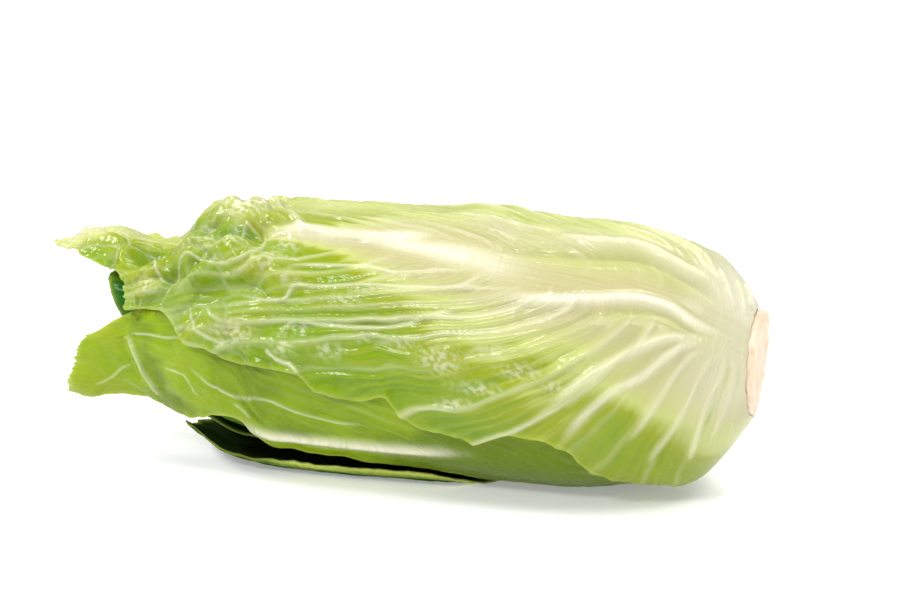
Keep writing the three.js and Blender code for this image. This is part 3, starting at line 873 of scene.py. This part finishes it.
class Nodes:
    """Shorter calls for the node tree of a material or world that ends in a shader."""

    def __init__(self, owner, shader="Principled BSDF"):
        owner.use_nodes = True
        self.owner = owner
        self.tree = owner.node_tree
        self.shader = self.tree.nodes[shader]

    def wire(self, node, inputs):
        for socket, source in dict(inputs).items():
            if isinstance(source, bpy.types.NodeSocket):
                self.tree.links.new(source, node.inputs[socket])
            else:
                node.inputs[socket].default_value = source
        return node

    def finish(self, inputs):
        """Wires the shader and gives back the material or world."""
        self.wire(self.shader, inputs)
        return self.owner

    def add(self, kind, inputs=(), **settings):
        node = self.tree.nodes.new(kind)
        for key, value in settings.items():
            setattr(node, key, value)
        return self.wire(node, inputs)

    def mix(self, factor, low, high):
        """A colour between two others."""
        return self.add("ShaderNodeMix", {0: factor, 6: low, 7: high}, data_type="RGBA").outputs[2]

    def blend(self, factor, low, high):
        """A number between two others."""
        return self.add("ShaderNodeMix", {0: factor, 2: low, 3: high}).outputs[0]

    def math(self, operation, a, b=0.0, clamp=False):
        return self.add("ShaderNodeMath", {0: a, 1: b}, operation=operation, use_clamp=clamp).outputs[0]

    plus = partialmethod(math, "ADD")
    minus = partialmethod(math, "SUBTRACT")
    times = partialmethod(math, "MULTIPLY")

    def noise(self, vector, scale, detail=3.0):
        inputs = {"Vector": vector, "Scale": scale, "Detail": detail}
        return self.add("ShaderNodeTexNoise", inputs).outputs[0]

    def bump(self, height, strength):
        inputs = {"Height": height, "Strength": strength, "Distance": BUMP_DEPTH}
        return self.add("ShaderNodeBump", inputs).outputs[0]

    def stretch(self, vector, scale):
        """The vector with each part scaled by its own number."""
        return self.add("ShaderNodeVectorMath", {0: vector, 1: scale}, operation="MULTIPLY").outputs[0]

    def centred(self, value, amount):
        """A value from 0 to 1 turned into one from -amount / 2 to amount / 2."""
        return self.times(self.minus(value, 0.5), amount)

    def part(self, vector, axis):
        return self.add("ShaderNodeSeparateXYZ", {"Vector": vector}).outputs[axis]

    def remap(self, value, low, high, start=0.0, end=1.0):
        """start at low, end at high, and smooth between."""
        inputs = {"Value": value, "From Min": low, "From Max": high, "To Min": start, "To Max": end}
        return self.add("ShaderNodeMapRange", inputs, interpolation_type="SMOOTHSTEP").outputs[0]

    def ramp(self, factor, stops):
        node = self.add("ShaderNodeValToRGB", {"Fac": factor})
        elements = node.color_ramp.elements
        while len(elements) < len(stops):
            elements.new(0.5)
        for element, (position, colour) in zip(elements, stops):
            element.position = position
            element.color = colour
        return node.outputs[0]


def leaf_material(name, stops, streakiness, shine):
    """A leaf: cream to green by the mesh's masks, streaked along its veins, waxy and wet."""
    n = Nodes(bpy.data.materials.new(name))
    masks = n.add("ShaderNodeAttribute", attribute_name="leaf")
    pale, green, edge = n.add("ShaderNodeSeparateColor", {"Color": masks.outputs["Color"]}).outputs
    flow = n.add("ShaderNodeAttribute", attribute_name="flow").outputs["Vector"]
    place = n.add("ShaderNodeTexCoord").outputs["Object"]
    along_veins = n.noise(n.stretch(flow, (7.0, 0.3, 0.0)), 1.0, 3.0)
    along_rib = n.noise(n.stretch(flow, (0.0, 0.3, 9.0)), 1.0, 3.0)
    beside_rib = n.remap(n.math("ABSOLUTE", n.part(flow, "Z")), 0.4, 1.4)
    streaks = n.blend(beside_rib, along_rib, along_veins)
    strength = n.times(masks.outputs["Alpha"], streakiness)
    fibres = n.noise(n.stretch(flow, (16.0, 0.7, 0.0)), 1.0, 2.0)
    blotches = n.noise(place, 75.0, 4.0)
    grain = n.noise(place, 900.0, 3.0)
    wobble = n.times(n.centred(streaks, 1.2), strength)
    wobble = n.plus(wobble, n.centred(blotches, 0.45))
    tone = n.plus(green, n.times(wobble, green), clamp=True)
    tan = n.times(n.minus(along_rib, 0.45), 1.6, clamp=True)
    tan = n.times(tan, n.minus(1.0, beside_rib))
    tan = n.times(tan, n.minus(1.0, green, clamp=True))
    blade = n.mix(n.times(tan, streakiness), n.ramp(tone, stops), TAN)
    net = n.add("ShaderNodeTexVoronoi", {"Vector": place, "Scale": 330.0}, feature="DISTANCE_TO_EDGE")
    thread = n.minus(1.0, n.times(net.outputs["Distance"], 9.0), clamp=True)
    thread = n.times(thread, n.times(green, 0.03))
    whiteness = n.times(pale, n.plus(0.9, n.centred(fibres, 0.8)), clamp=True)
    whiteness = n.math("MAXIMUM", whiteness, thread)
    colour = n.mix(whiteness, blade, VEIN)
    colour = n.mix(n.times(edge, 0.35), colour, EDGE)
    roughness = n.plus(0.3, n.centred(blotches, 0.35), clamp=True)
    lines_height = n.plus(n.times(streaks, 2.2), n.times(fibres, 0.6))
    height = n.times(lines_height, strength)
    blisters = n.times(n.noise(place, 380.0, 2.0), green)
    height = n.plus(height, n.times(blisters, 0.9))
    height = n.plus(height, n.times(grain, 0.25))
    return n.finish({
        "Base Color": colour, "Roughness": roughness, "Normal": n.bump(height, 0.5),
        "Subsurface Weight": 0.15, "Subsurface Radius": (1.0, 1.3, 0.35),
        "Subsurface Scale": SCATTER_DEPTH, "Specular IOR Level": 0.04 * shine,
        "Coat Weight": 0.42 * shine, "Coat Roughness": 0.16})


def stem_material():
    """The cut stem: damp cream flesh with a pink tinge and upright browned fibres."""
    n = Nodes(bpy.data.materials.new("stem_flesh"))
    place = n.add("ShaderNodeTexCoord").outputs["Object"]
    blotches = n.noise(place, 120.0, 5.0)
    grain = n.noise(place, 1100.0, 3.0)
    flesh = n.ramp(blotches, [(0.3, srgb(228, 212, 188)), (0.55, srgb(222, 198, 170)),
                              (0.75, srgb(212, 180, 147))])
    upright = n.noise(n.stretch(place, (1.0, 1.0, 0.12)), 420.0, 3.0)
    browned = n.times(n.minus(upright, 0.56), 6.0, clamp=True)
    return n.finish({
        "Base Color": n.mix(n.times(browned, 0.35), flesh, srgb(186, 146, 106)),
        "Roughness": n.plus(n.times(grain, 0.3), 0.35),
        "Normal": n.bump(grain, 0.4), "Subsurface Weight": 0.3,
        "Subsurface Radius": (1.0, 0.6, 0.35), "Subsurface Scale": SCATTER_DEPTH})


def floor_material():
    """White paper on a faintly lit table, so that the shadows stay pale."""
    n = Nodes(bpy.data.materials.new("floor_paper"))
    return n.finish({"Base Color": PAPER, "Roughness": 0.9, "Emission Color": WHITE,
                     "Emission Strength": PAPER_GLOW})


FRONT_STOPS = [(0.0, CREAM), (0.28, PALE_GREEN), (0.55, YELLOW_GREEN), (0.8, BLADE_GREEN),
               (1.0, srgb(96, 126, 2))]
GREEN_STOPS = [(0.0, CREAM), (0.25, PALE_GREEN), (0.5, YELLOW_GREEN), (0.75, BLADE_GREEN),
               (1.0, DEEP_GREEN)]
LOWER_STOPS = [(0.0, CREAM), (0.25, PALE_GREEN), (0.5, YELLOW_GREEN), (0.8, srgb(120, 145, 2)),
               (1.0, srgb(92, 114, 2))]
# The floor leaf's colours: near black as painted shade, up to bright lime as painted light on its rim.
PAINTED_SHADE_AND_LIGHT_STOPS = [(0.0, srgb(20, 42, 8)), (0.45, srgb(48, 88, 14)), (1.0, srgb(184, 200, 56))]
INNER_STOPS = [(0.0, CREAM), (0.35, PALE_GREEN), (0.7, BLADE_GREEN), (1.0, srgb(30, 96, 16))]
HEART_STOPS = [(0.0, srgb(216, 209, 172)), (0.5, srgb(196, 196, 118)), (1.0, srgb(168, 180, 74))]

# Each is the colours from cream to green, the strength of the streaks and the shine.
LEAF_SKINS = {
    "front_leaf": (FRONT_STOPS, 1.0, 1.0), "lower_leaf": (LOWER_STOPS, 0.35, 0.6),
    "floor_leaf": (PAINTED_SHADE_AND_LIGHT_STOPS, 0.4, 0.0), "top_leaf": (GREEN_STOPS, 1.0, 1.0),
    "back_leaf": (GREEN_STOPS, 1.0, 1.0), "inner_leaf": (INNER_STOPS, 1.0, 0.4),
    "heart_leaf": (HEART_STOPS, 1.0, 1.0), "core_leaf": (HEART_STOPS, 1.0, 1.0),
    "heart_bud": (HEART_STOPS, 1.0, 1.0),
}
MATERIALS = {name: leaf_material(name + "_skin", *skin) for name, skin in LEAF_SKINS.items()}


# ---- stem and heart ----
def turned_mesh(name, s, turn, radius):
    """A closed mesh of rings about the head's axis, each ring a row of radius."""
    points = to_frame(s, turn, radius)
    rows, columns = radius.shape
    index = np.arange(rows * columns).reshape(rows, columns)
    faces = grid_faces(np.hstack([index, index[:, :1]]))
    ends = [index[0][::-1].tolist(), index[-1].tolist()]
    mesh = bpy.data.meshes.new(name)
    mesh.from_pydata(points.reshape(-1, 3).tolist(), [], faces + ends)
    mesh.update()
    mesh.shade_smooth()
    return mesh


def build_stem():
    """The short stem: a cut face, ragged at its rim, narrowing into the head."""
    turn = np.linspace(0, 360, 181)[None, :-1]
    share = np.linspace(0, 1, 30)[:, None]
    ragged = 1 + 0.03 * rough(turn / 20, 0, 71, 3) - 0.02 * np.abs(noise(turn / 7, 0, 74))
    face_radius = CUT_RADIUS * ragged * share[1:]
    y, z = face_radius * np.cos(np.radians(turn)), face_radius * np.sin(np.radians(turn))
    slant = 1.2 - 0.07 * z - 0.03 * y
    rings = 0.35 * bell((face_radius - 15.5) / 1.1) - 0.5 * bell((face_radius - 17.6) / 0.7)
    face_s = np.clip(slant + 0.45 * rough(y / 6, z / 6, 72, 3) - rings, 0, 2.6)
    side_s = np.concatenate([np.linspace(2.8, 4.8, 8), np.linspace(5.4, 72, 56)])[:, None] + turn * 0
    profile = [(0, CUT_RADIUS), (3.4, CUT_RADIUS), (5.0, STEM_RADIUS), (8, 16.6), (12, 15.4), (22, 12.4),
               (34, 8.6), (50, 6.6), (70, 4), (72, 0.6)]
    grooves = 1 + 0.02 * noise(turn / 9, side_s / 30, 73)
    side_radius = curve(profile, side_s) * ragged * grooves
    s = np.concatenate([face_s, side_s])
    radius = np.concatenate([face_radius, side_radius])
    mesh = turned_mesh("stem_flesh", s, turn + s * 0, radius)
    add_piece("stem_flesh", mesh, stem_material(), "stem")


def build_bud():
    """The unopened youngest leaves, as one pleated spindle."""
    turn = np.linspace(0, 360, 121)[None, :-1]
    s = np.linspace(76, 230, 90)[:, None] + turn * 0
    profile = [(76, 0.4), (80, 5), (96, 12), (120, 16.5), (150, 17), (180, 15), (205, 10.5), (222, 5),
               (230, 0.4)]
    pleats = 1 - 0.05 * np.abs(np.sin(np.radians(turn * 3 + s * 1.5)))
    mesh = turned_mesh("heart_bud_leaves", s, turn + s * 0, curve(profile, s) * pleats)
    add_piece("heart_bud_leaves", mesh, MATERIALS["heart_bud"], "heart_bud")


# ---- stage ----
FLOOR_REACH = 6.0
PAPER = (0.8, 0.8, 0.8, 1)
PAPER_GLOW = 0.27
# The sky dims from white at the horizon to SKY_LIGHT between these heights.
SKY_FALL = (0.06, 0.35)
SKY_LIGHT = 0.5
REFLECTED_SKY = 0.35
# Each is a name, azimuth, elevation, watts and width in metres.
SOFTBOXES = [("key", -15, 36, 4.4, 0.27), ("side", -76, 42, 6.4, 0.36), ("rim", 165, 54, 4.5, 0.6),
             ("fill", 72, 50, 2.8, 0.5)]
SOFTBOX_DISTANCE = 1.1
SOFTBOX_SHAPE = 0.6
SUN_STRENGTH = 1.4
SUN_SPREAD = 40
# Azimuth and elevation in degrees, distance in metres.
SUN_PLACE = (50, 72, 2.0)
CAMERA_PLACE = (17, 14, 0.975)
# Where the camera aims, in metres from the middle of the cut face.
CAMERA_AIM = (-0.12448, 0.00544, 0.01438)


def build_floor():
    mesh = bpy.data.meshes.new("floor")
    corners = [(FLOOR_REACH * x, FLOOR_REACH * y, 0) for x, y in ((-1, -1), (1, -1), (1, 1), (-1, 1))]
    mesh.from_pydata(corners, [], [(0, 1, 2, 3)])
    mesh.materials.append(floor_material())
    floor = put("floor", mesh)


def build_sky():
    """A white sky, dimmer overhead and dimmer still in reflections, so that greens stay deep."""
    n = Nodes(bpy.data.worlds.new("studio"), "Background")
    height = n.part(n.add("ShaderNodeTexCoord").outputs["Generated"], "Z")
    fall = n.remap(height, *SKY_FALL, 1.0, SKY_LIGHT)
    glossy = n.add("ShaderNodeLightPath").outputs["Is Glossy Ray"]
    dimmed = n.add("ShaderNodeMapRange", {"Value": glossy, "To Min": fall, "To Max": REFLECTED_SKY})
    bpy.context.scene.world = n.finish({"Color": WHITE, "Strength": dimmed.outputs[0]})


def aimed(obj, place, target):
    """Puts an object at a place, looking at a target."""
    direction = np.array(target) - np.array(place)
    obj.location = place
    turn = math.atan2(direction[1], direction[0]) - math.pi / 2
    tilt = math.atan2(direction[2], math.hypot(direction[0], direction[1])) + math.pi / 2
    obj.rotation_euler = (tilt, 0, turn)


def around(target, azimuth, elevation, distance):
    """A place at an azimuth and elevation round a target; azimuth 0 is on the -Y side."""
    a, e = math.radians(azimuth), math.radians(elevation)
    back = np.array([math.sin(a) * math.cos(e), -math.cos(a) * math.cos(e), math.sin(e)])
    return np.array(target) + back * distance


def build_lights():
    middle = (np.array(CAD_BOX[0]) + np.array(CAD_BOX[1])) / 2
    sun = bpy.data.lights.new("overhead", "SUN")
    sun.energy = SUN_STRENGTH
    sun.angle = math.radians(SUN_SPREAD)
    aimed(put("overhead", sun), around(middle, *SUN_PLACE), middle)
    for name, azimuth, elevation, energy, width in SOFTBOXES:
        light = bpy.data.lights.new(name, "AREA")
        light.shape = "RECTANGLE"
        light.size, light.size_y = width, width * SOFTBOX_SHAPE
        light.energy = energy
        aimed(put(name, light), around(middle, azimuth, elevation, SOFTBOX_DISTANCE), middle)


def build_camera():
    data = bpy.data.cameras.new("camera")
    data.lens = 100.0
    data.sensor_width = 36.0
    camera = put("camera", data)
    target = np.array([CUT_X, AXIS_Y, AXIS_Z]) + CAMERA_AIM
    aimed(camera, around(target, *CAMERA_PLACE), target)
    bpy.context.scene.camera = camera


# ---- assembly ----
build_floor()
build_sky()
build_lights()
build_camera()
bpy.context.scene.view_settings.view_transform = "Standard"
build_stem()
build_bud()
for leaf_name in LEAVES:
    group = leaf_name if leaf_name in MATERIALS else leaf_name.rsplit("_", 1)[0]
    build_leaf(leaf_name, MATERIALS[group])
